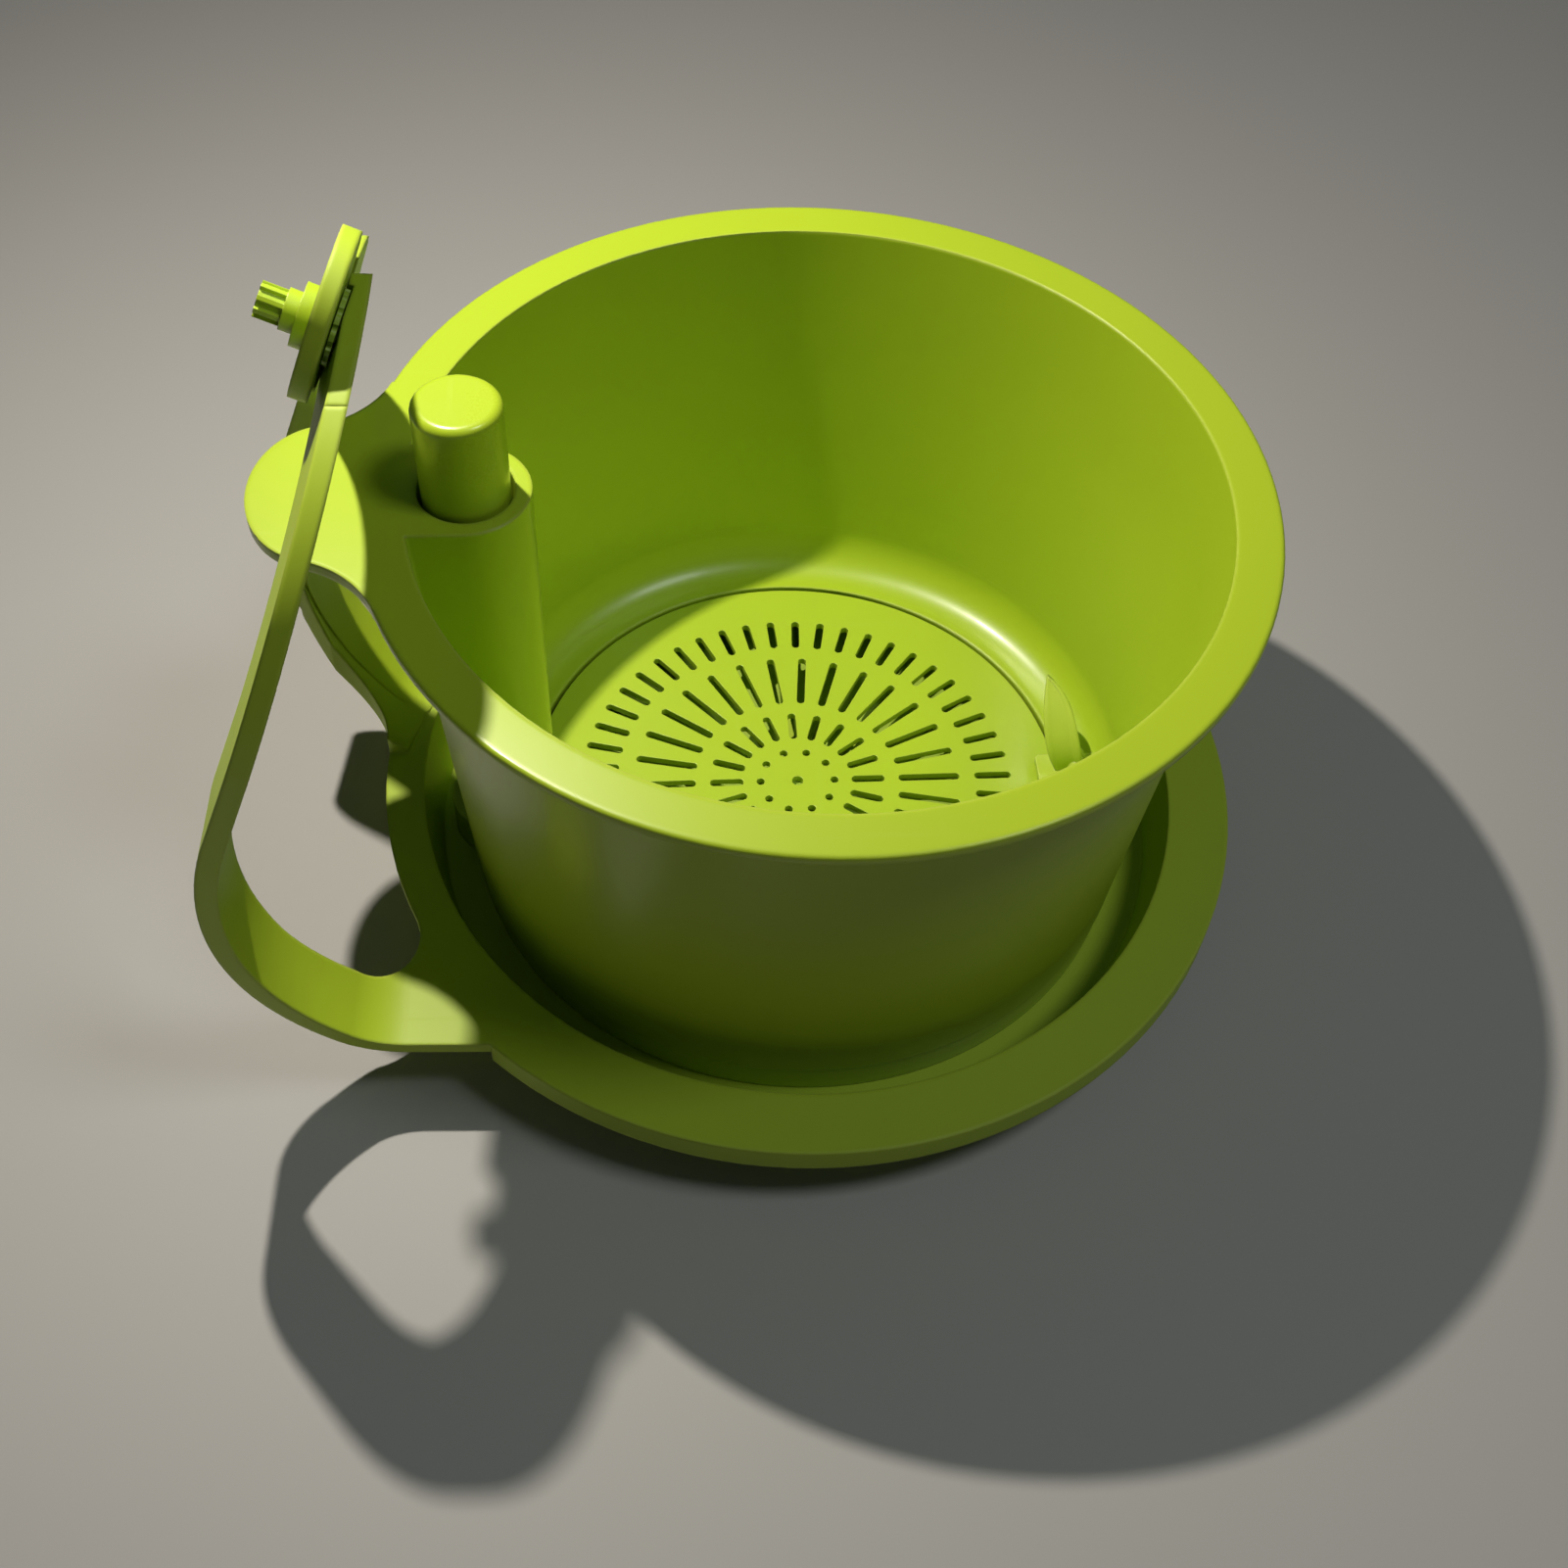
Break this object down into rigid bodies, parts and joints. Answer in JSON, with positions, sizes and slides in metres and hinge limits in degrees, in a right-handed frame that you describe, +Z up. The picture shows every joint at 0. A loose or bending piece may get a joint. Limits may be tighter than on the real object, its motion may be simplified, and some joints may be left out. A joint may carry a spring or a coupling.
{
  "type": "salad spinner",
  "caption": "Plunger salad spinner: bowl with a slotted spinning strainer disc, thumb plunger, gear drive, catch tray and two strap arms with a splined hub.",
  "frame": {"origin": "on the table under the middle of the bowl, on the plane of the feet", "axes": "+Z up; -X towards the plunger column, +X towards the disc latch; the strap arms rise on the -X side"},
  "size_m": [0.3003, 0.275, 0.2488],
  "materials": {
    "lime": "satin lime plastic",
    "lime_dark": "matt lime plastic",
    "steel": "bright steel",
    "brass": "plain brass",
    "rubber": "matt rubber"
  },
  "bodies": {
    "tray": {"base_tray": "lime", "rubber_base": "rubber", "arm_tip": "lime", "hub_bush": "lime_dark"},
    "bowl": {"bowl": "lime", "rod_bush": "brass", "spring_seat": "steel", "gear_chassis": "lime_dark", "chassis_screws": "steel", "centre_spindle": "steel", "idler_pin": "steel", "latch_pin": "steel", "return_spring": "steel"},
    "disc": {"strainer_disc": "lime", "centre_gear": "lime_dark", "centre_bush": "brass"},
    "idler": {"idler_gear": "lime_dark"},
    "drive": {"drive_gear": "lime_dark"},
    "rod": {"spiral_rod": "steel", "clutch_rotor": "lime"},
    "plunger": {"plunger_knob": "lime", "spiral_nut": "brass"},
    "latch": {"disc_latch": "lime"},
    "hub": {"hub_spindle": "lime", "hub_pinion": "lime_dark"}
  },
  "joints": [
    {"name": "bowl_lift", "type": "slide", "parent": "tray", "child": "bowl", "axis": [0, 0, 1], "range_m": [0, 0.015]},
    {"name": "disc_spin", "type": "hinge", "parent": "bowl", "child": "disc", "pos_m": [0, 0, 0.0185], "axis": [0, 0, 1], "continuous": true},
    {"name": "idler_spin", "type": "hinge", "parent": "bowl", "child": "idler", "pos_m": [-0.048, 0, 0.0125], "axis": [0, 0, 1], "continuous": true},
    {"name": "drive_gear_spin", "type": "hinge", "parent": "bowl", "child": "drive", "pos_m": [-0.09525, 0, 0.0125], "axis": [0, 0, 1], "continuous": true},
    {"name": "plunger_press", "type": "slide", "parent": "bowl", "child": "plunger", "axis": [0, 0, -1], "range_m": [0, 0.028], "stiffness_N_per_m": 150, "deforming": ["return_spring"]},
    {"name": "rod_turn", "type": "hinge", "parent": "bowl", "child": "rod", "pos_m": [-0.09525, 0, 0.08], "axis": [0, 0, 1], "range_deg": [0, 340]},
    {"name": "latch_swing", "type": "hinge", "parent": "bowl", "child": "latch", "pos_m": [0.091, 0, 0.0236], "axis": [0, 1, 0], "range_deg": [0, 18]},
    {"name": "hub_spin", "type": "hinge", "parent": "tray", "child": "hub", "pos_m": [-0.11949, -0.02799, 0.227], "axis": [-0.9237, 0.1397, 0.3567], "continuous": true}
  ],
  "couplings": [
    {"joint": "idler_spin", "follows": "disc_spin", "ratio": -0.33333},
    {"joint": "drive_gear_spin", "follows": "disc_spin", "ratio": 1.0667},
    {"joint": "rod_turn", "follows": "plunger_press", "rad_per_m": 209.44}
  ]
}
